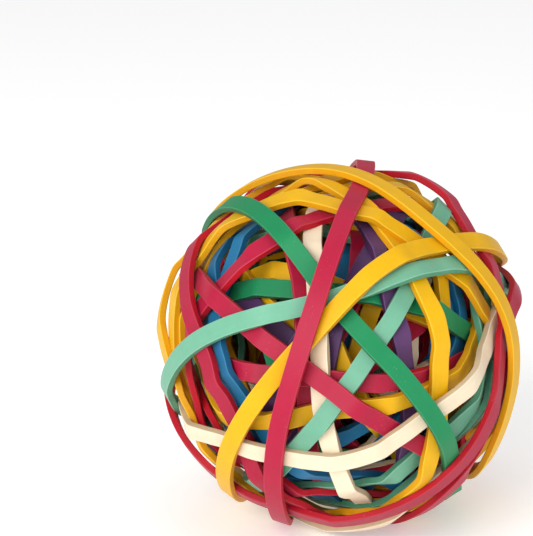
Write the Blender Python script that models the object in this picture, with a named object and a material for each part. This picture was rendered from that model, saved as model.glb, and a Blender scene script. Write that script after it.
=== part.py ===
"""Rubber band ball: flat coloured bands, each stretched once round the ball and lying on those wound before it.

The inner bands, too many and too deep to tell apart, are one solid. Every band that reaches the surface is its own.
The bands are laid from the last one wound, which lies over all the others, down to the first. Each follows its
own route round the ball, as far out as the bands over it allow, so crossing bands touch and never overlap.
"""

import copy
import math

import bmesh
import bpy
import numpy as np
from mathutils import Matrix, Vector

# Driving sizes, in metres
BALL_DIAMETER = 0.0620
BAND_WIDTH = 0.0030
BAND_THICKNESS = 0.0011
FIRST_WAD_DIAMETER = 0.0400
LAY_GAP = 0.00008
SIDE_GAP = 0.00018
MOST_TWIST = 0.0012
UNEVENNESS = 0.0005
SUPPLENESS = 20.0
SQUEEZED_THICKNESS = 0.00045
REST_FLAT_DIAMETER = 0.016

# The inner bands, in number, and the seeds of their directions and of the ball's unevenness
INNER_BANDS = 30
INNER_SEED = 11
UNEVEN_SEED = 5

# How the routes below were taken from the picture: the ball's middle and radius and a band's width there in
# pixels, the eye's distance in ball radii, and how deep the first and the last band lie as a share of the ball's
# radius. A point seen near the outline lies at least a margin further out than it shows
PICTURE_CENTRE = (342.3, 345.5)
PICTURE_RADIUS = 189.5
PICTURE_BAND_WIDTH = 18.5
EYE_DISTANCE = 16.0
FIRST_SHARE = 0.72
LAST_SHARE = 1.0
OUTLINE_MARGIN = 0.04

# The routes are read in the picture's frame: X right, Y up, Z towards the eye, which looks down this steeply
EYE_ELEVATION_DEG = 19.0

# Fineness of the meshes and of the map of the winding
STATIONS = 34
FIRST_STATIONS = 16
FINE = FIRST_STATIONS * 32
ACROSS = 15
CELLS = 220
PILE_CELLS = 90
SETTLINGS = 14
CORE_CELLS = 16

# Colours of the rubber, in linear light
COLOURS = {
    "crimson": (0.52, 0.022, 0.075),
    "yellow": (0.93, 0.50, 0.006),
    "mint": (0.115, 0.50, 0.32),
    "green": (0.016, 0.33, 0.13),
    "blue": (0.010, 0.12, 0.30),
    "cream": (0.89, 0.80, 0.62),
    "purple": (0.11, 0.045, 0.19),
}
RUBBER_ROUGHNESS = 0.48

# Each band's colour and the points that it was seen to pass through, in pixels, in the order of winding. A point
# marked as behind is a guess: it lies on the far side, where it draws a band away from the outline
BEHIND = "behind"
ROUTES = (
    ("blue", ((350, 240), (346, 275), (344, 310), (343, 345), (341, 375))),
    ("crimson", ((331, 215), (328, 240), (323, 270), (318, 300))),
    ("cream", ((425, 300), (421, 330), (419, 360), (412, 395))),
    ("yellow", ((377, 285), (371, 315), (361, 345), (348, 378))),
    ("crimson", ((385, 355), (412, 333), (440, 312))),
    ("purple", ((385, 193), (413, 213), (440, 236))),
    ("blue", ((325, 447), (352, 436), (385, 425))),
    ("cream", ((350, 404), (380, 396), (415, 384))),
    ("green", ((335, 458), (372, 475), (400, 490))),
    ("yellow", ((178, 315), (190, 355), (205, 392), (216, 425))),
    ("crimson", ((235, 262), (250, 246), (268, 230), (290, 213), (310, 200))),
    ("mint", ((205, 250), (232, 239), (265, 231), (300, 225), (335, 222))),
    ("blue", ((355, 515), (375, 508), (405, 491), (430, 470))),
    ("crimson", ((372, 187), (400, 190), (425, 195), (445, 203), (465, 214))),
    ("yellow", ((240, 278), (275, 268), (295, 269), (330, 276))),
    ("yellow", ((240, 278), (264, 303), (288, 329), (315, 350), (337, 364), (360, 385))),
    ("purple", ((225, 288), (247, 305), (278, 332), (310, 358))),
    ("crimson", ((364, 230), (357, 262), (350, 295))),
    ("blue", ((468, 285), (459, 300), (456, 325), (457, 350), (452, 380))),
    ("yellow", ((385, 440), (402, 460), (415, 485))),
    ("yellow", ((432, 262), (446, 292), (455, 330))),
    ("purple", ((300, 345), (274, 397), (243, 468))),
    ("crimson", ((160, 320), (172, 337), (190, 358))),
    ("blue", ((250, 488), (290, 508), (310, 519), (333, 527))),
    ("blue", ((452, 270), (467, 282), (477, 297), (480, 315), (474, 345), (464, 368))),
    ("purple", ((377, 243), (362, 263), (350, 290), (337, 330), (322, 365))),
    ("cream", ((487, 403), (478, 417), (468, 432))),
    ("crimson", ((480, 418), (466, 433), (450, 447))),
    (
        "green",
        (
            (172, 300), (205, 293), (240, 291), (270, 287), (300, 286), (340, 288),
            (372, 294), (418, 308), (450, 316), (475, 326), (492, 337),
        ),
    ),
    (
        "crimson",
        (
            (290, 245), (297, 270), (301, 300), (303, 350), (304, 397), (310, 440),
            (312, 478), (316, 496),
        ),
    ),
    (
        "purple",
        (
            (355, 203), (366, 225), (379, 252), (389, 295), (397, 325), (403, 350),
            (409, 375), (412, 415), (411, 455), (407, 485),
        ),
    ),
    (
        "crimson",
        (
            (170, 352), (195, 361), (248, 369), (300, 377), (340, 381), (385, 383),
            (425, 378), (465, 369), (497, 355),
        ),
    ),
    (
        "blue",
        (
            (262, 210), (240, 241), (222, 270), (207, 300), (195, 340), (189, 375),
            (190, 400), (197, 430), (208, 460),
        ),
    ),
    (
        "blue",
        (
            (222, 230), (210, 258), (209, 280), (214, 315), (222, 345), (231, 378),
            (243, 408), (258, 436), (285, 462), (330, 485),
        ),
    ),
    (
        "yellow",
        (
            (176, 398), (190, 413), (215, 420), (260, 422), (300, 419), (345, 418),
            (375, 410), (405, 404), (430, 394), (460, 378),
        ),
    ),
    (
        "mint",
        (
            (484, 285), (494, 305), (498, 325), (495, 345), (487, 385), (475, 405),
            (462, 422), (440, 445), (415, 467), (385, 484), (360, 495), (330, 503),
            (305, 505),
        ),
    ),
    ("crimson", ((225, 450), (255, 474), (285, 491), (315, 507), (345, 520))),
    (
        "cream",
        (
            (333, 162), (322, 188), (316, 238), (312, 280), (316, 340), (319, 380),
            (325, 415), (334, 450), (343, 475), (352, 497), (365, 516),
        ),
    ),
    (
        "crimson",
        (
            (345, 203), (330, 210), (310, 218), (290, 229), (272, 244), (255, 257),
            (232, 276), (214, 295), (190, 330), (176, 365), (171, 390), (172, 405),
            (178, 420),
        ),
    ),
    (
        "yellow",
        (
            (350, 162), (380, 168), (402, 172), (422, 180), (438, 190), (462, 207),
            (478, 222),
        ),
    ),
    (
        "mint",
        (
            (452, 188), (448, 208), (436, 230), (420, 262), (409, 292), (393, 322),
            (375, 348), (355, 375), (333, 402), (312, 427), (294, 450), (275, 475),
            (250, 495),
        ),
    ),
    ("yellow", ((212, 222), (228, 210), (265, 195), (283, 186), (300, 180))),
    ("mint", ((516, 272), (521, 290), (522, 303), (518, 330))),
    (
        "crimson",
        (
            (179, 266), (197, 281), (225, 308), (262, 339), (290, 360), (325, 385),
            (355, 409), (390, 431), (425, 451), (450, 463),
        ),
    ),
    (
        "yellow",
        (
            (285, 172), (320, 178), (350, 190), (375, 207), (397, 233), (413, 258),
            (426, 285), (437, 330), (443, 370), (442, 395), (437, 430), (434, 455),
            (426, 478), (410, 496), (388, 510),
        ),
    ),
    (
        "yellow",
        (
            (158, 345), (165, 300), (178, 277), (200, 246), (222, 228), (245, 216),
            (270, 202), (300, 198), (335, 205), (365, 211), (395, 221), (420, 235),
            (445, 252), (470, 270), (490, 290), (505, 315),
        ),
    ),
    (
        "crimson",
        (
            (214, 207), (200, 228), (190, 255), (187, 285), (192, 315), (203, 350),
            (213, 385), (223, 415), (235, 447), (252, 475), (270, 500), (292, 518),
        ),
    ),
    ("yellow", ((207, 205), (188, 235), (169, 262), (159, 290), (155, 320), (156, 350), (160, 378))),
    ("cream", ((530, 330), (524, 370), (512, 400), (497, 428), (485, 448))),
    (
        "cream",
        (
            (163, 408), (180, 427), (215, 444), (255, 456), (300, 464), (340, 462),
            (380, 449), (415, 430), (450, 404), (480, 377), (500, 350), (507, 333),
        ),
    ),
    (
        "green",
        (
            (214, 207), (238, 196), (262, 216), (290, 246), (318, 276), (345, 312),
            (375, 348), (405, 385), (430, 415), (450, 442), (456, 465), (458, 488),
        ),
    ),
    (
        "mint",
        (
            (500, 268), (478, 255), (445, 259), (410, 270), (375, 284), (335, 296),
            (290, 307), (250, 319), (210, 336), (180, 353), (162, 375), (155, 392),
            (162, 412),
        ),
    ),
    (
        "crimson",
        (
            (428, 178), (448, 186), (463, 203), (478, 222), (492, 245), (503, 263),
            (512, 285), (519, 305), (523, 325), (522, 350), (520, 375), (514, 398),
            (505, 422), (490, 450),
        ),
    ),
    (
        "crimson",
        (
            (512, 350), (505, 380), (493, 412), (478, 445), (460, 468), (435, 490),
            (405, 510), (370, 522), (335, 528), (305, 522), (283, 518), (255, 511),
            (235, 503), (212, 484), (195, 463), (182, 447), (177, 436),
            (168, 400, BEHIND), (190, 300, BEHIND),
        ),
    ),
    (
        "yellow",
        (
            (502, 250), (490, 233), (460, 237), (425, 247), (395, 259), (365, 283),
            (335, 310), (300, 345), (272, 378), (247, 418), (231, 450), (224, 480),
            (228, 505),
        ),
    ),
    (
        "crimson",
        (
            (369, 160), (358, 185), (341, 230), (322, 280), (303, 335), (288, 385),
            (276, 435), (270, 480), (279, 515),
        ),
    ),
    (
        "yellow",
        (
            (232, 187), (270, 171), (315, 163), (365, 173), (410, 200), (455, 233),
            (490, 280), (511, 315), (520, 345), (522, 372), (517, 395), (508, 420),
            (499, 445), (493, 458), (470, 470, BEHIND), (430, 440, BEHIND),
        ),
    ),
)

# A route's drift to the side is a sum of harmonics. These weights hold back those of order 0 to 4, and the freedom
# is how far, in radians, each may stray where nothing of the band was seen. Showing where nothing was seen costs a
# route as much as lying under as many bands as the root of its cost. At the outline a band still shows this far
# behind the ball's middle, as a share of its radius
ROUTE_STIFFNESS = 0.01
HARMONIC_WEIGHTS = (1, 1, 4, 9, 16)
UNSEEN_FREEDOM = 0.12
ROUTE_TRIES = 60
ROUTE_SEED = 1
SEEN_END = 0.15
SHOWING_COST = 150
SHOWING_BEHIND = 0.12

STEP_ANGLES = 2 * math.pi * np.arange(FINE) / FINE
STEP_COSINES = np.cos(STEP_ANGLES[:, None] - STEP_ANGLES)
SPRING_BACK = 1 + SUPPLENESS * (1 / np.where(STEP_COSINES > 0.3, STEP_COSINES, 1e-9) - 1)

ELEVATION = math.radians(EYE_ELEVATION_DEG)
DOWN = np.array([0, -math.cos(ELEVATION), -math.sin(ELEVATION)])


def clear_scene():
    for thing in list(bpy.data.objects):
        bpy.data.objects.remove(thing, do_unlink=True)


def unit(vectors):
    return vectors / np.linalg.norm(vectors, axis=-1, keepdims=True)


def outer_reach(directions):
    """The ball's own outer form: a sphere, a little uneven, with a small flat where it rests."""
    chance = np.random.default_rng(UNEVEN_SEED)
    waves = chance.normal(0, 3.0, (8, 3))
    phases = chance.uniform(0, 2 * math.pi, 8)
    swell = np.cos(directions @ waves.T + phases).mean(axis=-1)
    reach = BALL_DIAMETER / 2 - UNEVENNESS * np.clip(0.5 + swell, 0, 1)
    floor = math.sqrt((BALL_DIAMETER / 2 - UNEVENNESS) ** 2 - (REST_FLAT_DIAMETER / 2) ** 2)
    facing = np.maximum(directions @ DOWN, 1e-9)
    return np.minimum(reach, floor / facing)


class Map:
    """A value for each direction from the ball's centre, kept on six square grids like a cube's faces."""

    def __init__(self, value_of, cells=CELLS):
        angles = ((np.arange(cells) + 0.5) / cells * 2 - 1) * math.pi / 4
        across, upward = np.meshgrid(np.tan(angles), np.tan(angles), indexing="ij")
        self.value = np.empty((6, cells, cells))
        for face in range(6):
            depth = np.full_like(across, 1 - 2 * (face % 2))
            middles = np.roll(np.stack([depth, across, upward], axis=-1), face // 2, axis=-1)
            self.value[face] = value_of(unit(middles))

    def cells(self, directions):
        major = np.argmax(np.abs(directions), axis=-1)[..., None]
        depth = np.take_along_axis(directions, major, -1)
        across = np.take_along_axis(directions, (major + 1) % 3, -1)
        upward = np.take_along_axis(directions, (major + 2) % 3, -1)
        face = 2 * major + (depth < 0)
        angles = np.arctan(np.concatenate([across, upward], axis=-1) / np.abs(depth))
        count = self.value.shape[1]
        places = np.clip(((angles * 4 / math.pi + 1) / 2 * count).astype(int), 0, count - 1)
        return face[..., 0], places[..., 0], places[..., 1]

    def at(self, directions):
        return self.value[self.cells(directions)]

    def lower_to(self, points):
        np.minimum.at(self.value, self.cells(points), np.linalg.norm(points, axis=-1))

    def raise_to(self, points):
        np.maximum.at(self.value, self.cells(points), np.linalg.norm(points, axis=-1))

    def count_one_more(self, directions):
        met = np.zeros_like(self.value)
        met[self.cells(directions)] = 1
        self.value += met


def seen_direction(pixel, share):
    """The direction from the ball's centre of a picture point, on a sphere that is this share of the ball."""
    side = 1 if BEHIND in pixel else -1
    right = (pixel[0] - PICTURE_CENTRE[0]) / PICTURE_RADIUS
    up = (PICTURE_CENTRE[1] - pixel[1]) / PICTURE_RADIUS
    share = min(max(share, math.hypot(right, up) + OUTLINE_MARGIN), 1)
    right, up = right / math.sqrt(EYE_DISTANCE**2 - 1), up / math.sqrt(EYE_DISTANCE**2 - 1)
    slant = right**2 + up**2 + 1
    inside = max(EYE_DISTANCE**2 - slant * (EYE_DISTANCE**2 - share**2), 0)
    travel = (EYE_DISTANCE + side * math.sqrt(inside)) / slant
    return unit(np.array([right * travel, up * travel, EYE_DISTANCE - travel]))


def harmonics(angles):
    """Columns 1, cos a, sin a, cos 2a, sin 2a and so on, and the weight that holds each one back."""
    columns = [np.ones_like(angles)]
    weights = [HARMONIC_WEIGHTS[0]]
    for order, weight in enumerate(HARMONIC_WEIGHTS[1:], start=1):
        columns += [np.cos(order * angles), np.sin(order * angles)]
        weights += [weight, weight]
    return np.stack(columns, axis=-1), np.diag(weights)


def route_through(seen, pile, chance):
    """The middle line of a band through the seen directions, and the direction across it, at every fine step.

    The line is the great circle nearest to those directions, with a side drift that is a short Fourier series.
    Of several such lines, alike where the band was seen, the band takes the one that fewest bands lie over and
    that shows least towards the eye elsewhere.
    """
    normal = np.linalg.svd(seen)[2][2]
    start = unit(seen.mean(axis=0) - normal * seen.mean(axis=0).dot(normal))
    quarter = np.cross(normal, start)
    angles = np.arctan2(seen @ quarter, seen @ start)
    drift = np.arcsin(np.clip(seen @ normal, -1, 1))
    columns, weights = harmonics(angles)
    pull = columns.T @ columns + ROUTE_STIFFNESS * weights
    fitted = np.linalg.solve(pull, columns.T @ drift)
    freedom = UNSEEN_FREEDOM * math.sqrt(ROUTE_STIFFNESS) * np.linalg.cholesky(np.linalg.inv(pull))
    tries = fitted + chance.normal(0, 1, (ROUTE_TRIES, len(fitted))) @ freedom.T
    tries[0] = fitted
    lines = [line_on_circle(start, quarter, normal, harmonics(STEP_ANGLES)[0] @ series) for series in tries]
    turns = (STEP_ANGLES + math.pi) % (2 * math.pi) - math.pi
    unseen = (turns < angles.min() - SEEN_END) | (turns > angles.max() + SEEN_END)
    return min(lines, key=lambda line: route_cost(pile, unseen, *line))


def width_in_picture(middle, side):
    """Directions all over a band on this route, by the width that it has in the picture."""
    lean = np.linspace(-0.5, 0.5, ACROSS // 2) * PICTURE_BAND_WIDTH / PICTURE_RADIUS
    return leaning(middle[:, None], side[:, None], lean)


def route_cost(pile, unseen, middle, side):
    """The mean square number of bands over this route, and the cost of the share of it that would show."""
    over = pile.at(width_in_picture(middle, side))
    showing = unseen & (middle[:, 2] > -SHOWING_BEHIND) & (over.min(axis=1) == 0)
    return float((over.max(axis=1) ** 2).mean() + SHOWING_COST * showing.mean())


def line_on_circle(start, quarter, normal, drift):
    circle = np.cos(STEP_ANGLES)[:, None] * start + np.sin(STEP_ANGLES)[:, None] * quarter
    middle = np.cos(drift)[:, None] * circle + np.sin(drift)[:, None] * normal
    ahead = np.roll(middle, -1, axis=0) - np.roll(middle, 1, axis=0)
    return middle, unit(np.cross(ahead, middle))


def leaning(middle, side, angle):
    """Directions turned from the middle line to its side by these angles."""
    return np.cos(angle)[..., None] * middle + np.sin(angle)[..., None] * side


def taut(ceiling):
    """The loop under this ceiling. Where a band crosses over, it is pressed in, and it springs back on either side.

    At a suppleness of 1 it would run straight there. The higher it is, the shorter the hollow that is pressed in.
    """
    return (ceiling[:, None] * SPRING_BACK).min(axis=0)


def edge_heights(winding, middle, side):
    """The radius of the band's two upper edges along its route, tight under what lies over each."""
    share = np.linspace(0, 1, ACROSS)
    third = ACROSS // 3
    reach = np.full(FINE, winding.at(middle).mean())
    for _ in range(2):
        half = (BAND_WIDTH / 2 + SIDE_GAP) / reach
        lean = half[:, None] * (2 * share - 1)
        over = winding.at(leaning(middle[:, None], side[:, None], lean))
        left = taut(over[:, :third].min(axis=1))
        right = taut(over[:, -third:].min(axis=1))
        for _ in range(4):
            top = left[:, None] * (1 - share) + right[:, None] * share
            press = np.maximum((top - over).max(axis=1), 0)
            left, right = taut(left - press), taut(right - press)
        left, right = np.minimum(left, right + MOST_TWIST), np.minimum(right, left + MOST_TWIST)
        left, right = taut(left), taut(right)
        reach = (left + right) / 2
    return left, right


def facet_weights(along, across):
    """Each sample's share of a segment's four corners, left and right at its start and end, on two triangles."""
    a, b = np.meshgrid(along, across, indexing="ij")
    first = a >= b
    weights = [
        np.where(first, 1 - a, 1 - b),
        np.where(first, a - b, 0),
        np.where(first, 0, b - a),
        np.where(first, b, a),
    ]
    return np.stack(weights, axis=-1).reshape(-1, 4)


EDGE_MARGIN = SIDE_GAP / BAND_WIDTH
TEST_WEIGHTS = facet_weights(np.linspace(0, 1, 33), np.linspace(-EDGE_MARGIN, 1 + EDGE_MARGIN, 17))
FILL_WEIGHTS = facet_weights(np.linspace(0, 1, 61), np.linspace(0, 1, 33))


def facet_points(left, right, weights):
    corners = np.stack([left, np.roll(left, -1, axis=0), right, np.roll(right, -1, axis=0)], axis=1)
    return np.einsum("gw,swc->sgc", weights, corners)


def excess(winding, left, right):
    """How far each flat segment stands too high against what lies over it, and the corner shares at that place."""
    points = facet_points(left, right, TEST_WEIGHTS)
    over = np.linalg.norm(points, axis=-1) + LAY_GAP - winding.at(points)
    worst = over.argmax(axis=1)
    press = np.maximum(np.take_along_axis(over, worst[:, None], 1)[:, 0], 0)
    return press, np.maximum(TEST_WEIGHTS[worst], 0)


def bend(edges, start, end):
    """The furthest that the edges stray from the straight line between two steps, and the step where they do."""
    steps = np.arange(start, end + 1)
    points = edges[:, steps % FINE]
    chord = unit(points[:, -1] - points[:, 0])[:, None]
    offset = points - points[:, :1]
    offset = offset - (offset * chord).sum(axis=-1, keepdims=True) * chord
    stray = np.linalg.norm(offset, axis=-1).max(axis=0)
    return float(stray.max()), start + int(stray.argmax())


def station_steps(edges):
    """The steps where the band's facets meet: evenly spaced first ones, then always one more where it bends most."""
    first = range(0, FINE + 1, FINE // FIRST_STATIONS)
    spans = [(*bend(edges, a, b), a, b) for a, b in zip(first, first[1:])]
    while len(spans) < STATIONS:
        widest = max(range(len(spans)), key=lambda place: spans[place][0])
        _, middle, start, end = spans.pop(widest)
        spans += [(*bend(edges, start, middle), start, middle), (*bend(edges, middle, end), middle, end)]
    return np.array(sorted(start for _, _, start, _ in spans))


def thickness(winding, directions):
    """A band's thickness at each direction: less where another lies over it and squeezes it."""
    covered = winding.at(directions) < outer_reach(directions) - BAND_THICKNESS / 2
    return np.where(covered, SQUEEZED_THICKNESS, BAND_THICKNESS)


def lay_band(winding, middle, side):
    """The band's corner loops: lower left, lower right, upper left and upper right. The map takes its underside."""
    fine_left, fine_right = edge_heights(winding, middle, side)
    fine_half = BAND_WIDTH / (fine_left + fine_right - BAND_THICKNESS)
    fine_to_left = leaning(middle, side, -fine_half)
    fine_to_right = leaning(middle, side, fine_half)
    steps = station_steps(np.stack([fine_left[:, None] * fine_to_left, fine_right[:, None] * fine_to_right]))
    left, right = fine_left[steps] - LAY_GAP, fine_right[steps] - LAY_GAP
    to_left, to_right = fine_to_left[steps], fine_to_right[steps]
    for _ in range(SETTLINGS):
        press, share = excess(winding, left[:, None] * to_left, right[:, None] * to_right)
        drop = press[:, None] * share / (share**2).sum(axis=1, keepdims=True)
        left = left - np.maximum(drop[:, 0], np.roll(drop[:, 1], 1))
        right = right - np.maximum(drop[:, 2], np.roll(drop[:, 3], 1))
    press, _ = excess(winding, left[:, None] * to_left, right[:, None] * to_right)
    rest = np.maximum(press, np.roll(press, 1))
    left, right = left - rest, right - rest
    loops = [
        (left - thickness(winding, to_left))[:, None] * to_left,
        (right - thickness(winding, to_right))[:, None] * to_right,
        left[:, None] * to_left,
        right[:, None] * to_right,
    ]
    winding.lower_to(facet_points(loops[0], loops[1], FILL_WEIGHTS))
    return loops


def rubber(colour):
    material = bpy.data.materials.get(colour) or bpy.data.materials.new(colour)
    material.use_nodes = True
    shader = material.node_tree.nodes["Principled BSDF"]
    shader.inputs["Base Color"].default_value = (*COLOURS[colour], 1)
    shader.inputs["Roughness"].default_value = RUBBER_ROUGHNESS
    shader.inputs["Metallic"].default_value = 0
    material.diffuse_color = (*COLOURS[colour], 1)
    return material


def finished_object(name, work, colour, parent):
    """A named object from the worked mesh, with its faces outwards, its rubber and its place in the ball."""
    bmesh.ops.recalc_face_normals(work, faces=work.faces)
    mesh = bpy.data.meshes.new(name)
    work.to_mesh(mesh)
    work.free()
    mesh.materials.append(rubber(colour))
    thing = bpy.data.objects.new(name, mesh)
    bpy.context.scene.collection.objects.link(thing)
    thing.parent = parent


def band_object(name, loops, colour, parent):
    """A closed flat strip between four corner loops. Its side walls point at the ball's centre."""
    work = bmesh.new()
    low_left, low_right, high_left, high_right = [
        [work.verts.new(point) for point in loop] for loop in loops
    ]
    for here in range(STATIONS):
        there = (here + 1) % STATIONS
        for one, other in ((low_left, low_right), (high_left, high_right)):
            work.faces.new((one[here], one[there], other[there]))
            work.faces.new((one[here], other[there], other[here]))
        for low, high in ((low_left, high_left), (low_right, high_right)):
            work.faces.new((low[here], low[there], high[there], high[here]))
    finished_object(name, work, colour, parent)


def outer_bands(winding, parent):
    """Every band that reaches the surface, laid from the last one wound, which lies over all, down to the first."""
    chance = np.random.default_rng(ROUTE_SEED)
    pile = Map(lambda directions: 0, PILE_CELLS)
    names = []
    for colour, _ in ROUTES:
        names.append(f"{colour}_band_{sum(name.startswith(colour) for name in names) + 1}")
    depths = np.linspace(FIRST_SHARE, LAST_SHARE, len(ROUTES))
    for name, (colour, pixels), share in reversed(list(zip(names, ROUTES, depths))):
        seen = np.array([seen_direction(pixel, share) for pixel in pixels])
        route = route_through(seen, pile, chance)
        pile.count_one_more(width_in_picture(*route))
        band_object(name, lay_band(winding, *route), colour, parent)


def random_route(chance):
    normal = unit(chance.normal(0, 1, 3))
    start = unit(np.cross(normal, np.roll(normal, 1)))
    return line_on_circle(start, np.cross(normal, start), normal, np.zeros(FINE))


def inner_bands(winding, parent):
    """The deep winding as one solid: a fine ball raised to where its own bands reach, under all the outer ones."""
    ceiling = copy.deepcopy(winding)
    tops = Map(lambda directions: FIRST_WAD_DIAMETER / 2)
    chance = np.random.default_rng(INNER_SEED)
    for _ in range(INNER_BANDS):
        winding.value = np.maximum(winding.value, FIRST_WAD_DIAMETER / 2)
        loops = lay_band(winding, *random_route(chance))
        tops.raise_to(facet_points(loops[2], loops[3], FILL_WEIGHTS))
    work = bmesh.new()
    bmesh.ops.create_cube(work, size=2)
    bmesh.ops.subdivide_edges(work, edges=work.edges, cuts=CORE_CELLS - 1, use_grid_fill=True)
    bmesh.ops.triangulate(work, faces=work.faces)
    work.verts.index_update()
    directions = unit(np.tan(np.array([vertex.co[:] for vertex in work.verts]) * math.pi / 4))
    corners = np.array([[corner.index for corner in face.verts] for face in work.faces])
    reach = tops.at(directions)
    steps = np.linspace(0, 1, 19)
    inside = np.array([(a, b, 1 - a - b) for a in steps for b in steps if a + b <= 1 + 1e-9])
    for _ in range(SETTLINGS):
        points = np.einsum("gw,fwc->fgc", inside, (reach[:, None] * directions)[corners])
        press = (np.linalg.norm(points, axis=-1) + LAY_GAP - ceiling.at(points)).max(axis=1)
        drop = np.zeros(len(reach))
        np.maximum.at(drop, corners, np.maximum(press, 0)[:, None])
        reach = reach - drop
    for vertex, place in zip(work.verts, reach[:, None] * directions):
        vertex.co = place
    finished_object("inner_bands", work, "crimson", parent)


def stand(parent):
    """Turns and lifts the whole ball so that it stands on its flat, with the middle of its outline over the origin."""
    turn = Matrix.Rotation(math.pi / 2 - ELEVATION, 3, "X")
    placed = np.array([turn @ vertex.co for child in parent.children for vertex in child.data.vertices])
    low, high = placed.min(axis=0), placed.max(axis=0)
    shift = Vector((-(low[0] + high[0]) / 2, -(low[1] + high[1]) / 2, -low[2]))
    parent.matrix_world = Matrix.Translation(shift) @ turn.to_4x4()


def main():
    clear_scene()
    centre = bpy.data.objects.new("ball_centre", None)
    bpy.context.scene.collection.objects.link(centre)
    winding = Map(outer_reach)
    outer_bands(winding, centre)
    inner_bands(winding, centre)
    stand(centre)


main()
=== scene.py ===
# Rubber band ball: fine bands rebuilt along the solid ones, the winding inside them, floor,
# light and camera
import math

import bpy
import numpy as np
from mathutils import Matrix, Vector


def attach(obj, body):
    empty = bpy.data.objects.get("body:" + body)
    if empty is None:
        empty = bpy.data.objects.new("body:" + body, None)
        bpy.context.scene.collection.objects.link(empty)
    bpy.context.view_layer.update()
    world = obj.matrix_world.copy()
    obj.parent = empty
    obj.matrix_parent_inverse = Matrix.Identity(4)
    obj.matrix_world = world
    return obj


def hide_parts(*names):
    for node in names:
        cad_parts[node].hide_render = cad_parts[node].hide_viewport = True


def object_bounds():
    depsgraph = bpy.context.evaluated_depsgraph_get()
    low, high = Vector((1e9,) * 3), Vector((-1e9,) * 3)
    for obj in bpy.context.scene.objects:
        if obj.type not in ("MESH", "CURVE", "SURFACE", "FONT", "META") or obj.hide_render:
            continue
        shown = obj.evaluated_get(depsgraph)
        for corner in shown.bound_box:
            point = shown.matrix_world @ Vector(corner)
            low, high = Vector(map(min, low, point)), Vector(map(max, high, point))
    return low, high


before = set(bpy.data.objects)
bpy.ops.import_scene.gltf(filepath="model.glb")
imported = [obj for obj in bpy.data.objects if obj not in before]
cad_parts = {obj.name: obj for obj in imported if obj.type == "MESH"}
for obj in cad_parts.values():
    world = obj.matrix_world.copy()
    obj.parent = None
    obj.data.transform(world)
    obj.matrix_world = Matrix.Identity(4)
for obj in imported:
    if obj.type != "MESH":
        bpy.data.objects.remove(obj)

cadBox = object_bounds()
fullTurn = 2 * math.pi
print("frame loaded:", len(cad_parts), "solids")

# The bands' colours from the first one wound to the last. A solid's number counts up within its
# colour
windingOrder = (
    "blue crimson cream yellow crimson purple blue cream green yellow crimson mint blue crimson "
    "yellow yellow purple crimson blue yellow yellow purple crimson blue blue purple cream crimson "
    "green crimson purple crimson blue blue yellow mint crimson cream crimson yellow mint yellow "
    "mint crimson yellow yellow crimson yellow cream cream green mint crimson crimson yellow "
    "crimson yellow"
).split()


# Shapes: directions, loops and the map of the winding

# The vectors, each made one unit long
def unit(vectors):
    return vectors / np.linalg.norm(vectors, axis=-1, keepdims=True)


# Every triangle's three corners, as one array, in metres
def trianglesOf(thing):
    mesh = thing.data
    mesh.calc_loop_triangles()
    places = np.empty(len(mesh.vertices) * 3, np.float32)
    corners = np.empty(len(mesh.loop_triangles) * 3, np.int32)
    mesh.vertices.foreach_get("co", places)
    mesh.loop_triangles.foreach_get("vertices", corners)
    return places.reshape(-1, 3).astype(float)[corners].reshape(-1, 3, 3)


solids = {
    "radialEdge": 0.985,  # least cosine between a radial edge and the line from the ball's middle
    "wall": 0.2,  # most cosine between that line and the way a side wall faces
    "stationsApart": 0.004,  # radians along a route by which two of its stations differ at least
}


# The point nearest to all the lines that run along the solids' radial edges:
# sum (I - uu') x = sum (I - uu') p
def commonCentre(names, guess):
    corners = np.concatenate([trianglesOf(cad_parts[name]) for name in names])
    starts, ends = corners.reshape(-1, 3), np.roll(corners, -1, axis=1).reshape(-1, 3)
    along = unit(ends - starts)
    radial = np.abs((along * unit(starts - guess)).sum(axis=1)) > solids["radialEdge"]
    flat = np.eye(3) - along[radial, :, None] * along[radial, None, :]
    return np.linalg.solve(flat.sum(axis=0), (flat @ starts[radial, :, None]).sum(axis=0)).ravel()


# A value all round a loop: the cubic Hermite curve through the values at the knots, joined end to
# end. A level one has the harmonic mean of its neighbouring slopes at each knot, so that it never
# overshoots
def aroundLoop(knots, values, turns, level):
    span = np.diff(knots, append=knots[0] + fullTurn)
    after = (np.roll(values, -1) - values) / span
    before, spanBefore = np.roll(after, 1), np.roll(span, 1)
    if level:
        total = np.where(before * after > 0, before + after, 1)
        lean = np.where(before * after > 0, 2 * before * after / total, 0)
    else:
        lean = (before * span + after * spanBefore) / (span + spanBefore)
    ahead = (turns - knots[0]) % fullTurn
    here = np.searchsorted(knots - knots[0], ahead, side="right") - 1
    there = (here + 1) % len(knots)
    t = (ahead - (knots[here] - knots[0])) / span[here]
    return (
        (1 + 2 * t) * (1 - t) ** 2 * values[here]
        + t * (1 - t) ** 2 * span[here] * lean[here]
        + t**2 * (3 - 2 * t) * values[there]
        - t**2 * (1 - t) * span[here] * lean[there]
    )


# Directions turned from the middle line towards its side by these angles: cos a m + sin a s
def leaning(middle, side, angle):
    return np.cos(angle)[..., None] * middle + np.sin(angle)[..., None] * side


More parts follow.
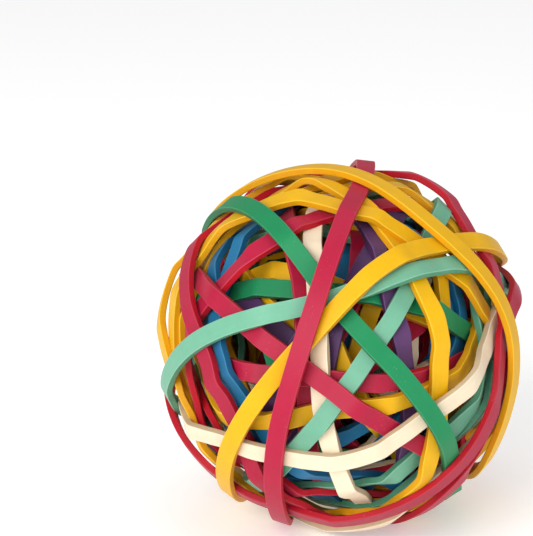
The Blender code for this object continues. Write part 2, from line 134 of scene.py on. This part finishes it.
# A value for every direction, kept on the six faces of a cube with evenly spaced angles
class WindingMap:
    def __init__(self, cells, value):
        self.value = np.full((6, cells, cells), value)

    def cellsOf(self, directions):
        count = self.value.shape[1]
        major = np.argmax(np.abs(directions), axis=-1)[..., None]
        depth = np.take_along_axis(directions, major, -1)
        across = np.take_along_axis(directions, (major + 1) % 3, -1)
        upward = np.take_along_axis(directions, (major + 2) % 3, -1)
        face = 2 * major + (depth < 0)
        angles = np.arctan(np.concatenate([across, upward], axis=-1) / np.abs(depth))
        places = np.clip(((angles * 4 / math.pi + 1) / 2 * count).astype(int), 0, count - 1)
        return face[..., 0], places[..., 0], places[..., 1]

    def at(self, directions):
        return self.value[self.cellsOf(directions)]

    def lowerTo(self, points):
        np.minimum.at(self.value, self.cellsOf(points), np.linalg.norm(points, axis=-1))


band = {
    "width": 0.0030,
    "thickness": 0.0011,
    "room": 0.00085,  # how far below a band's upper side the next one may come up, where it is free
    "squeezed": 0.00028,  # and where it is covered itself
    "steps": 384,  # along the loop
    "samplesAcross": 13,
    "suppleness": 20.0,  # how quickly it springs back beside a band that crosses over it
    "feltTo": 0.3,  # the cosine of the angle along the loop over which a crossing is felt
    "gap": 0.00002,  # below what lies over it
    "sideGap": 0.00008,  # beside it
    "mostTwist": 0.0012,  # how much lower one edge may lie than the other
    "settlings": 2,  # how often its place under the others is worked out anew
    "pressings": 4,  # and each time it is pressed down this often
    "mapAlong": 3,  # points per step that enter it in the map
    "mapAcross": 21,
    "cornerRadius": 0.00017,
    "cornerPoints": 4,
    "softening": 2,  # steps over which a bend is rounded
    "lengthShift": 0.37,  # metres from one band's streaks to the next one's
    "tones": (0.93, 1.05),
    "seed": 21,
}
ballRadius = 0.031
openAbove = ballRadius + 0.002  # what the map holds where nothing has been laid yet
coveredUnder = ballRadius + 0.001  # where it holds less than this, a band lies over
mapCells = 240  # to each side of each face of the cube
leastFall = 0.5  # any flatter than this and a direction meets the floor well outside the ball
veryLittle = 1e-9
turns = np.arange(band["steps"]) / band["steps"] * fullTurn
stepCosines = np.cos(turns[:, None] - turns)


# How many times further out a loop may lie at one step than at another:
# 1 + suppleness (1 / cos a - 1), where a is the angle between the steps
def springBackOf(suppleness):
    felt = np.where(stepCosines > band["feltTo"], stepCosines, veryLittle)
    return 1 + suppleness * (1 / felt - 1)


# The tight loop under a ceiling: pressed in where something crosses, and springing back to each
# side of it
def taut(ceiling, springBack):
    return (ceiling[:, None] * springBack).min(axis=0)


# Each value is the mean of its neighbours under a bell-shaped weight, round the loop
def softened(values, reach):
    weights = np.hanning(2 * reach + 3)[1:-1]
    weights = weights / weights.sum()
    shifts = range(-reach, reach + 1)
    return sum(weight * np.roll(values, shift, axis=0) for weight, shift in zip(weights, shifts))


# How far out the ball reaches at most in these directions, to the floor that it stands on:
# the middle's height / how much the direction falls
def toTheFloor(directions):
    return ballCentre[2] / np.maximum(-directions[..., 2], leastFall)


# The radii of a band's two upper edges, as far out as they are asked to be and under all that lies
# over them
def settledEdges(winding, middle, side, left, right, springBack):
    share = np.linspace(0, 1, band["samplesAcross"])
    third = len(share) // 3
    for _ in range(band["settlings"]):
        half = (band["width"] / 2 + band["sideGap"]) / ((left + right) / 2)
        looked = leaning(middle[:, None], side[:, None], half[:, None] * (2 * share - 1))
        over = np.minimum(winding.at(looked), toTheFloor(looked)) - band["gap"]
        left = taut(np.minimum(left, over[:, :third].min(axis=1)), springBack)
        right = taut(np.minimum(right, over[:, -third:].min(axis=1)), springBack)
        for _ in range(band["pressings"]):
            top = left[:, None] * (1 - share) + right[:, None] * share
            press = np.maximum((top - over).max(axis=1), 0)
            left, right = taut(left - press, springBack), taut(right - press, springBack)
        lower = np.minimum(left, right) + band["mostTwist"]
        left, right = np.minimum(left, lower), np.minimum(right, lower)
    return softened(left, band["softening"]), softened(right, band["softening"])


# A settled band: the points of its upper left and right edge. The map then holds its underside
def laidBand(winding, middle, side, left, right, springBack):
    left, right = settledEdges(winding, middle, side, left, right, springBack)
    half = band["width"] / (left + right)
    leftEdge = left[:, None] * leaning(middle, side, -half)
    rightEdge = right[:, None] * leaning(middle, side, half)
    ahead = np.linspace(0, 1, band["mapAlong"] + 1)[:-1, None, None, None]
    share = np.linspace(0, 1, band["mapAcross"])[:, None, None]
    along = [edge + ahead * (np.roll(edge, -1, axis=0) - edge) for edge in (leftEdge, rightEdge)]
    top = along[0] * (1 - share) + along[1] * share
    reach = np.linalg.norm(top, axis=-1, keepdims=True)
    covered = winding.at(top)[..., None] < coveredUnder
    under = top * (1 - np.where(covered, band["squeezed"], band["room"]) / reach)
    winding.lowerTo(under)
    return leftEdge, rightEdge


# The route and edge radii of a band's solid. Its walls' triangles, sorted by the way they face,
# give both edges. The route is kept as a drift to the side of the circle that lies nearest to it
def solidRoute(name):
    corners = trianglesOf(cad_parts[name]) - ballCentre
    facing = unit(np.cross(corners[:, 1] - corners[:, 0], corners[:, 2] - corners[:, 0]))
    outward = unit(corners.mean(axis=1))
    ways = unit(corners.reshape(-1, 3))
    axis = np.linalg.svd(ways - ways.mean(axis=0), full_matrices=False)[2][2]
    start = unit(np.cross(axis, np.roll(axis, 1)))
    quarter = np.cross(axis, start)
    wall = np.abs((facing * outward).sum(axis=1)) < solids["wall"]
    apart = solids["stationsApart"]
    edges = []
    for sign in (-1, 1):
        points = corners[wall & (facing @ axis * sign > 0)].reshape(-1, 3)
        reach = np.linalg.norm(points, axis=1)
        angle = np.arctan2(points @ quarter, points @ start)
        turn = (angle - angle[0] + apart) % fullTurn
        order = np.argsort(turn)
        station = np.cumsum(np.diff(turn[order], prepend=turn[order[0]]) > apart)
        upper = np.zeros(station[-1] + 1)
        np.maximum.at(upper, station, reach[order])
        count = np.bincount(station)
        knots = np.bincount(station, turn[order]) / count
        drift = np.bincount(station, np.arcsin(points[order] @ axis / reach[order])) / count
        asked = turns - angle[0] + apart
        drift = aroundLoop(knots, drift, asked, False)[:, None]
        circle = np.cos(turns)[:, None] * start + np.sin(turns)[:, None] * quarter
        way = np.cos(drift) * circle + np.sin(drift) * axis
        edges.append((way, aroundLoop(knots, upper, asked, True)))
    middle = unit(edges[0][0] + edges[1][0])
    side = unit(np.cross(np.roll(middle, -1, axis=0) - np.roll(middle, 1, axis=0), middle))
    if ((edges[1][0] - edges[0][0]) * side).sum() < 0:
        side = -side
    return middle, side, edges[0][1], edges[1][1]


# Meshes: a rounded strip carried round a loop

# The outline of a band's section, in metres, with the way each point faces: four quarter circles
# joined by straight lines, from the middle of the top to the right and round
def stripSection(corners):
    radius = band["cornerRadius"]
    wide, deep = band["width"] / 2 - radius, band["thickness"] - 2 * radius
    quarterTurn = np.linspace(0, math.pi / 2, corners)
    angles = np.concatenate([quarterTurn + n * math.pi / 2 for n in range(4)])
    cornerAt = np.repeat([[wide, 0], [wide, -deep], [-wide, -deep], [-wide, 0]], corners, axis=0)
    facing = np.stack([np.sin(angles), np.cos(angles)], axis=-1)
    return cornerAt + [0, -radius] + radius * facing, facing


# Closed strips in one mesh: the section carried along the line between a strip's edges, square to
# that line. For the materials it keeps the length along and round the strip in metres, how much
# each point lies on a cut side, where painted shade goes, or on an upper rim, where a painted
# highlight goes, and the strip's tone
def stripMesh(name, leftEdges, rightEdges, tones, corners, sparse):
    section, facing = stripSection(corners)
    stations, around = leftEdges.shape[1] // sparse, len(section)
    left, right = leftEdges[:, ::sparse], rightEdges[:, ::sparse]
    line = (left + right) / 2
    ahead = unit(np.roll(line, -1, axis=1) - np.roll(line, 1, axis=1))
    across = right - left
    across = unit(across - (across * ahead).sum(axis=-1, keepdims=True) * ahead)
    up = np.cross(across, ahead)
    up = up * np.sign((up * line).sum(axis=-1, keepdims=True))
    handed = np.sign((np.cross(across, up) * ahead).sum(axis=(1, 2)))
    across = across * handed[:, None, None]
    places = section[:, :1] * across[:, :, None] + section[:, 1:] * up[:, :, None]
    places = line[:, :, None] + places + ballCentre
    normals = facing[:, :1] * across[:, :, None] + facing[:, 1:] * up[:, :, None]
    bands = len(left)
    number = np.arange(bands * stations * around).reshape(bands, stations, around)
    onward, beside = np.roll(number, -1, axis=1), np.roll(number, -1, axis=2)
    faces = np.stack([number, onward, np.roll(onward, -1, axis=2), beside], axis=-1)
    mesh = bpy.data.meshes.new(name)
    mesh.from_pydata(places.reshape(-1, 3), [], faces.reshape(-1, 4).tolist())
    step = np.linalg.norm(np.roll(line, -1, axis=1) - line, axis=-1)
    travelled = np.concatenate([np.zeros((bands, 1)), np.cumsum(step, axis=1)], axis=1)
    girth = np.linalg.norm(np.roll(section, -1, axis=0) - section, axis=-1)
    wound = np.concatenate([[0], np.cumsum(girth)])
    station, point = np.meshgrid(np.arange(stations), np.arange(around), indexing="ij")
    cornerStations = np.stack([station, station + 1, station + 1, station], axis=-1)
    cornerPoints = np.stack([point, point, point + 1, point + 1], axis=-1)
    shift = band["lengthShift"]
    lengths = np.stack([row[cornerStations] + shift * n for n, row in enumerate(travelled)])
    both = np.stack([lengths, np.broadcast_to(wound[cornerPoints], lengths.shape)], axis=-1)
    layer = mesh.uv_layers.new(name="alongAndRound")
    layer.uv.foreach_set("vector", both.astype(np.float32).ravel())
    # Masks of the painted shade on the cut sides and of the painted highlight on the upper rims
    sideShadeMask = np.abs(facing[:, 0]) ** 2
    slant = np.arctan2(np.abs(facing[:, 0]), np.abs(facing[:, 1]))
    rimHighlight = np.where(facing[:, 1] > -veryLittle, np.sin(2 * slant), 0)  # on the upper corners only
    tone = np.asarray(tones)[:, None, None]
    for title, values in (("sideShadeMask", sideShadeMask), ("rimHighlight", rimHighlight), ("tone", tone)):
        spread = np.broadcast_to(values, (bands, stations, around)).astype(np.float32)
        mesh.attributes.new(title, "FLOAT", "POINT").data.foreach_set("value", spread.ravel())
    mesh.shade_smooth()
    mesh.normals_split_custom_set_from_vertices(unit(normals).reshape(-1, 3))
    thing = bpy.data.objects.new(name, mesh)
    bpy.context.scene.collection.objects.link(thing)
    return thing


# Rubber: noise groups shared by all the colours

# One more node in a tree, with its inputs set or linked by name or number
def addNode(tree, kind, settings=(), **inputs):
    node = tree.nodes.new(kind)
    for key, value in dict(settings).items():
        setattr(node, key, value)
    for key, value in inputs.items():
        socket = node.inputs[int(key[1:]) if key[0] == "_" else key.replace("_", " ")]
        if isinstance(value, bpy.types.NodeSocket):
            tree.links.new(value, socket)
        else:
            socket.default_value = value
    return node


def mathNode(tree, operation, *values, clamp=False):
    settings = {"operation": operation, "use_clamp": clamp}
    inputs = {f"_{n}": value for n, value in enumerate(values)}
    return addNode(tree, "ShaderNodeMath", settings, **inputs).outputs[0]


def newGroup(name, sockets):
    group = bpy.data.node_groups.new(name, "ShaderNodeTree")
    for title, way, kind in sockets:
        group.interface.new_socket(title, in_out=way, socket_type=kind)
    return group, addNode(group, "NodeGroupInput"), addNode(group, "NodeGroupOutput")


streakNoise = {
    "lengthwise": 70.0,  # noise cells per metre along a band
    "detail": 4.0,
    "roughness": 0.62,
    "mottleScale": 420.0,
    "mottleDetail": 3.0,
    "mottleRoughness": 0.6,
    "inHeight": 0.75,  # the streaks' share in it, where the mottle has the rest
    "inShade": 0.5,
}


# Fine streaks along a stretched band: noise that is far finer round the section than along it,
# with a coarser mottle. Height and Shade are near a half where the rubber is plain
def stretchStreaks():
    group, given, out = newGroup(
        "stretchStreaks",
        (
            ("Along", "INPUT", "NodeSocketVector"),
            ("Place", "INPUT", "NodeSocketVector"),
            ("Fineness", "INPUT", "NodeSocketFloat"),
            ("Height", "OUTPUT", "NodeSocketFloat"),
            ("Shade", "OUTPUT", "NodeSocketFloat"),
        ),
    )
    apart = addNode(group, "ShaderNodeSeparateXYZ", Vector=given.outputs["Along"])
    place = addNode(group, "ShaderNodeSeparateXYZ", Vector=given.outputs["Place"])
    roundIt = mathNode(group, "MULTIPLY", apart.outputs["Y"], given.outputs["Fineness"])
    slanted = mathNode(group, "ADD", place.outputs["X"], place.outputs["Z"])
    lengthwise = mathNode(group, "MULTIPLY", slanted, streakNoise["lengthwise"])
    deep = mathNode(group, "MULTIPLY", place.outputs["Y"], streakNoise["lengthwise"])
    where = addNode(group, "ShaderNodeCombineXYZ", X=roundIt, Y=lengthwise, Z=deep)
    streaks = addNode(
        group, "ShaderNodeTexNoise", Vector=where.outputs[0], Scale=1.0,
        Detail=streakNoise["detail"], Roughness=streakNoise["roughness"],
    ).outputs[0]
    mottle = addNode(
        group, "ShaderNodeTexNoise", Vector=given.outputs["Place"],
        Scale=streakNoise["mottleScale"], Detail=streakNoise["mottleDetail"],
        Roughness=streakNoise["mottleRoughness"],
    ).outputs[0]
    for title, share in (("Height", streakNoise["inHeight"]), ("Shade", streakNoise["inShade"])):
        part = mathNode(group, "MULTIPLY", mottle, 1 - share)
        group.links.new(mathNode(group, "MULTIPLY_ADD", streaks, share, part), out.inputs[title])
    return group


# The scale and detail of each noise, and the values where its spots begin and where they are full
talcNoise = {
    "specks": (5200.0, 1.0, 0.70, 0.78),
    "patches": (260.0, 2.0, 0.48, 0.66),
}


# Specks of the talc that keeps bands from sticking: the rare high spots of a fine noise, only in
# some patches
def talcSpecks():
    group, given, out = newGroup(
        "talcSpecks",
        (
            ("Place", "INPUT", "NodeSocketVector"),
            ("Amount", "INPUT", "NodeSocketFloat"),
            ("Mask", "OUTPUT", "NodeSocketFloat"),
        ),
    )
    both = given.outputs["Amount"]
    for scale, detail, lowest, highest in talcNoise.values():
        noise = addNode(
            group, "ShaderNodeTexNoise",
            Vector=given.outputs["Place"], Scale=scale, Detail=detail, Roughness=0.5,
        ).outputs[0]
        spots = addNode(group, "ShaderNodeMapRange", Value=noise, From_Min=lowest, From_Max=highest)
        both = mathNode(group, "MULTIPLY", both, spots.outputs[0], clamp=True)
    group.links.new(both, out.inputs["Mask"])
    return group


streaksGroup, specksGroup = stretchStreaks(), talcSpecks()

# Each colour on its broad face, in painted shade on its cut sides (more saturated and mostly darker
# than the face) and with a painted highlight on the rims between them
rubberColours = {
    "crimson": {
        "face": (0.410, 0.007, 0.040), "side": (0.46, 0.004, 0.016), "rimHighlight": (0.56, 0.070, 0.120),
    },
    "yellow": {
        "face": (0.74, 0.400, 0.001), "side": (0.68, 0.31, 0.001), "rimHighlight": (0.90, 0.62, 0.040),
    },
    "mint": {
        "face": (0.150, 0.40, 0.265), "side": (0.080, 0.28, 0.165), "rimHighlight": (0.32, 0.60, 0.45),
    },
    "green": {
        "face": (0.008, 0.230, 0.082), "side": (0.004, 0.15, 0.050), "rimHighlight": (0.07, 0.38, 0.19),
    },
    "blue": {
        "face": (0.010, 0.165, 0.340), "side": (0.005, 0.100, 0.22), "rimHighlight": (0.07, 0.29, 0.48),
    },
    "cream": {
        "face": (0.86, 0.72, 0.52), "side": (0.60, 0.45, 0.28), "rimHighlight": (0.96, 0.89, 0.74),
    },
    "purple": {
        "face": (0.090, 0.034, 0.118), "side": (0.052, 0.016, 0.070), "rimHighlight": (0.18, 0.090, 0.21),
    },
}
rubberFinish = {
    "roughness": 0.48,
    "roughnessSpan": 0.30,  # between the lowest and the highest spots
    "shadeLowest": 0.82,
    "shadeSpan": 0.36,
    "streaks": 9000.0,  # noise cells per metre round a band
    "bump": 0.00002,
    "bumpStrength": 0.6,
    # The share of the painted highlight colour on the upper rims
    "rimHighlightShare": 0.50,
    "talc": 0.20,
    "talcColour": (0.86, 0.84, 0.80),
    "specular": 0.24,
    "sheen": 0.04,
    "sheenRoughness": 0.45,
}


def rubber(name, colours):
    material = bpy.data.materials.new(name)
    material.use_nodes = True
    tree = material.node_tree
    shader = tree.nodes["Principled BSDF"]
    coordinates = addNode(tree, "ShaderNodeTexCoord")
    lengths = addNode(tree, "ShaderNodeUVMap", {"uv_map": "alongAndRound"}).outputs[0]
    marks = {
        title: addNode(tree, "ShaderNodeAttribute", {"attribute_name": title}).outputs["Fac"]
        for title in ("sideShadeMask", "rimHighlight", "tone")
    }
    streaks = addNode(
        tree, "ShaderNodeGroup", {"node_tree": streaksGroup},
        Along=lengths, Place=coordinates.outputs["Object"], Fineness=rubberFinish["streaks"],
    )
    specks = addNode(
        tree, "ShaderNodeGroup", {"node_tree": specksGroup},
        Place=coordinates.outputs["Object"], Amount=rubberFinish["talc"],
    ).outputs[0]

    def mixed(share, first, second, blend="MIX"):
        node = addNode(tree, "ShaderNodeMix", {"data_type": "RGBA", "blend_type": blend}, _0=share)
        for place, value in ((6, first), (7, second)):
            if isinstance(value, bpy.types.NodeSocket):
                tree.links.new(value, node.inputs[place])
            else:
                node.inputs[place].default_value = (*value, 1)
        return node.outputs[2]

    # The cut sides take their colour of painted shade
    colour = mixed(marks["sideShadeMask"], colours["face"], colours["side"])
    # Then a painted highlight along the upper rims
    rimHighlightAmount = mathNode(tree, "MULTIPLY", marks["rimHighlight"], rubberFinish["rimHighlightShare"])
    colour = mixed(rimHighlightAmount, colour, colours["rimHighlight"])
    span, lowest = rubberFinish["shadeSpan"], rubberFinish["shadeLowest"]
    shade = mathNode(tree, "MULTIPLY_ADD", streaks.outputs["Shade"], span, lowest)
    toned = mathNode(tree, "MULTIPLY", shade, marks["tone"])
    grey = addNode(tree, "ShaderNodeCombineColor", _0=toned, _1=toned, _2=toned).outputs[0]
    colour = mixed(1.0, colour, grey, "MULTIPLY")
    colour = mixed(specks, colour, rubberFinish["talcColour"])
    tree.links.new(colour, shader.inputs["Base Color"])
    height = streaks.outputs["Height"]
    span = rubberFinish["roughnessSpan"]
    rough = mathNode(tree, "MULTIPLY_ADD", height, span, rubberFinish["roughness"] - span / 2)
    tree.links.new(rough, shader.inputs["Roughness"])
    strength, distance = rubberFinish["bumpStrength"], rubberFinish["bump"]
    bump = addNode(tree, "ShaderNodeBump", Height=height, Strength=strength, Distance=distance)
    tree.links.new(bump.outputs[0], shader.inputs["Normal"])
    shader.inputs["Specular IOR Level"].default_value = rubberFinish["specular"]
    shader.inputs["Sheen Weight"].default_value = rubberFinish["sheen"]
    shader.inputs["Sheen Roughness"].default_value = rubberFinish["sheenRoughness"]
    return material


materials = {
    colour: rubber(colour + "Rubber", colours) for colour, colours in rubberColours.items()
}
print("rubber made:", len(materials), "colours")


view = {
    "width": 533,
    "height": 536,
    "middle": (342.3, 345.5),  # the ball's middle and radius in the picture, in pixels
    "radius": 189.5,
    "distance": 16.0,  # in ball radii
    "elevation": 19.0,
    "sensorWidth": 36,
}


# The bands that show, from the last one wound to the first
bandNames = [
    f"{colour}_band_{windingOrder[: n + 1].count(colour)}" for n, colour in enumerate(windingOrder)
]
boxMiddle = (np.array(cadBox[0]) + np.array(cadBox[1])) / 2
ballCentre = commonCentre(bandNames, boxMiddle)
winding = WindingMap(mapCells, openAbove)
chance = np.random.default_rng(band["seed"])
springBack = springBackOf(band["suppleness"])
for name, colour in zip(reversed(bandNames), reversed(windingOrder)):
    leftEdge, rightEdge = laidBand(winding, *solidRoute(name), springBack)
    tone = chance.uniform(*band["tones"])
    edges = leftEdge[None], rightEdge[None]
    piece = stripMesh(name + "_rubber", *edges, [tone], band["cornerPoints"], 1)
    piece.data.materials.append(materials[colour])
    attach(piece, "root")
    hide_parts(name)
print("outer bands laid:", len(bandNames))


# The winding under them, in every colour, down to the first wad
inner = {
    "count": 104,
    "outermost": 0.0288,
    "innermost": 0.0228,
    "fuller": 0.0026,  # how much further out they lie away from the front
    "fullerRamp": (1.6, 2.0),  # the share of it that they get is the first less the second x cosine
    "alongOutline": 26,  # before them, this many follow the ball's outline and fill its gaps
    "outlineReach": 0.0284,
    "outlineSpread": 0.16,
    "wander": 0.05,
    "suppleness": 60.0,  # they come up into the narrow holes between the outer ones
    "cornerPoints": 3,
    "everyStep": 2,  # their meshes keep one step in two
    # Each inner band's tone is random in this range, which lies lower than the outer bands':
    # painted shade on the bands under them
    "tones": (0.85, 1.0),
    "seed": 8,
    "shares": {
        "crimson": 0.24, "yellow": 0.20, "mint": 0.12, "green": 0.12,
        "blue": 0.16, "cream": 0.08, "purple": 0.08,
    },
}


# The great circle square to this normal, with a side drift of two waves: its middle line and the
# direction across it
def looseRoute(normal, chance):
    start = unit(np.cross(normal, np.roll(normal, 1)))
    quarter = np.cross(normal, start)
    drift = np.zeros((len(turns), 1))
    for order in (1, 2):
        size = chance.normal(0, inner["wander"] / order)
        drift[:, 0] += size * np.cos(order * turns + chance.uniform(0, fullTurn))
    circle = np.cos(turns)[:, None] * start + np.sin(turns)[:, None] * quarter
    middle = np.cos(drift) * circle + np.sin(drift) * normal
    return middle, unit(np.cross(np.roll(middle, -1, axis=0) - np.roll(middle, 1, axis=0), middle))


tilt = math.radians(view["elevation"])
towardsEye = np.array([0, -math.cos(tilt), math.sin(tilt)])
chance = np.random.default_rng(inner["seed"])
innerEdges = {colour: [] for colour in rubberColours}
names, shares = list(inner["shares"]), np.array(list(inner["shares"].values()))
springBack = springBackOf(inner["suppleness"])
reaches = np.full(inner["alongOutline"], inner["outlineReach"])
reaches = np.append(reaches, np.linspace(inner["outermost"], inner["innermost"], inner["count"]))
for number, reach in enumerate(reaches):
    normal = chance.normal(0, 1, 3)
    if number < inner["alongOutline"]:
        normal = towardsEye + inner["outlineSpread"] * normal
    middle, side = looseRoute(unit(normal), chance)
    colour = str(chance.choice(names, p=shares / shares.sum()))
    most, perCosine = inner["fullerRamp"]
    asked = reach + inner["fuller"] * np.clip(most - perCosine * (middle @ towardsEye), 0, 1)
    innerEdges[colour].append(laidBand(winding, middle, side, asked, asked, springBack))
for colour, edges in innerEdges.items():
    if edges:
        left, right = (np.stack(both) for both in zip(*edges))
        tones = chance.uniform(*inner["tones"], len(edges))
        points, sparse = inner["cornerPoints"], inner["everyStep"]
        piece = stripMesh(f"inner_{colour}_bands", left, right, tones, points, sparse)
        piece.data.materials.append(materials[colour])
        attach(piece, "root")
        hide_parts("inner_bands")
print("inner bands laid:", len(reaches))


# Floor, light and camera, none of them part of the ball
studio = {
    "floorSize": 6.0,
    "floorColour": (0.92, 0.92, 0.92, 1),
    "floorGlow": 0.30,
    "floorRoughness": 0.9,
    "floorSpecular": 0.1,
    "worldColour": (1.0, 1.0, 1.0, 1),
    "worldStrength": 0.46,
    "key": {"place": (-0.34, -0.56, 0.34), "size": 0.55, "power": 4.4},
    "fill": {"place": (0.48, -0.46, 0.26), "size": 0.55, "power": 1.2},
    "top": {"place": (0.05, 0.10, 0.70), "size": 0.60, "power": 0.9},
}
floorMesh = bpy.data.meshes.new("floor")
half = studio["floorSize"] / 2
floorCorners = [(-half, -half, 0), (half, -half, 0), (half, half, 0), (-half, half, 0)]
floorMesh.from_pydata(floorCorners, [], [(0, 1, 2, 3)])
floor = bpy.data.objects.new("floor", floorMesh)
floorPaint = bpy.data.materials.new("palePaper")
floorPaint.use_nodes = True
floorShader = floorPaint.node_tree.nodes["Principled BSDF"]
floorShader.inputs["Base Color"].default_value = studio["floorColour"]
floorShader.inputs["Roughness"].default_value = studio["floorRoughness"]
floorShader.inputs["Specular IOR Level"].default_value = studio["floorSpecular"]
floorShader.inputs["Emission Color"].default_value = studio["floorColour"]
floorShader.inputs["Emission Strength"].default_value = studio["floorGlow"]
floorMesh.materials.append(floorPaint)
bpy.context.scene.collection.objects.link(floor)

world = bpy.data.worlds.new("softStudio")
world.use_nodes = True
world.node_tree.nodes["Background"].inputs["Color"].default_value = studio["worldColour"]
world.node_tree.nodes["Background"].inputs["Strength"].default_value = studio["worldStrength"]
bpy.context.scene.world = world

for name in ("key", "fill", "top"):
    choice = studio[name]
    light = bpy.data.lights.new(name, "AREA")
    light.size, light.energy = choice["size"], choice["power"]
    lamp = bpy.data.objects.new(name, light)
    lamp.location = choice["place"]
    lamp.rotation_euler = (Vector(ballCentre) - lamp.location).to_track_quat("-Z", "Y").to_euler()
    bpy.context.scene.collection.objects.link(lamp)

camera = bpy.data.cameras.new("camera")
eye = bpy.data.objects.new("camera", camera)
away = view["distance"] * ballRadius
eye.location = Vector(ballCentre + towardsEye * away)
eye.rotation_euler = (math.pi / 2 - tilt, 0, 0)
slope = ballRadius / math.sqrt(away**2 - ballRadius**2)
camera.sensor_fit = "HORIZONTAL"
camera.sensor_width = view["sensorWidth"]
camera.lens = view["radius"] / slope * camera.sensor_width / view["width"]
camera.shift_x = (view["width"] / 2 - view["middle"][0]) / view["width"]
camera.shift_y = (view["middle"][1] - view["height"] / 2) / view["width"]
bpy.context.scene.collection.objects.link(eye)
bpy.context.scene.camera = eye
bpy.context.scene.view_settings.view_transform = "Standard"
print("studio set")
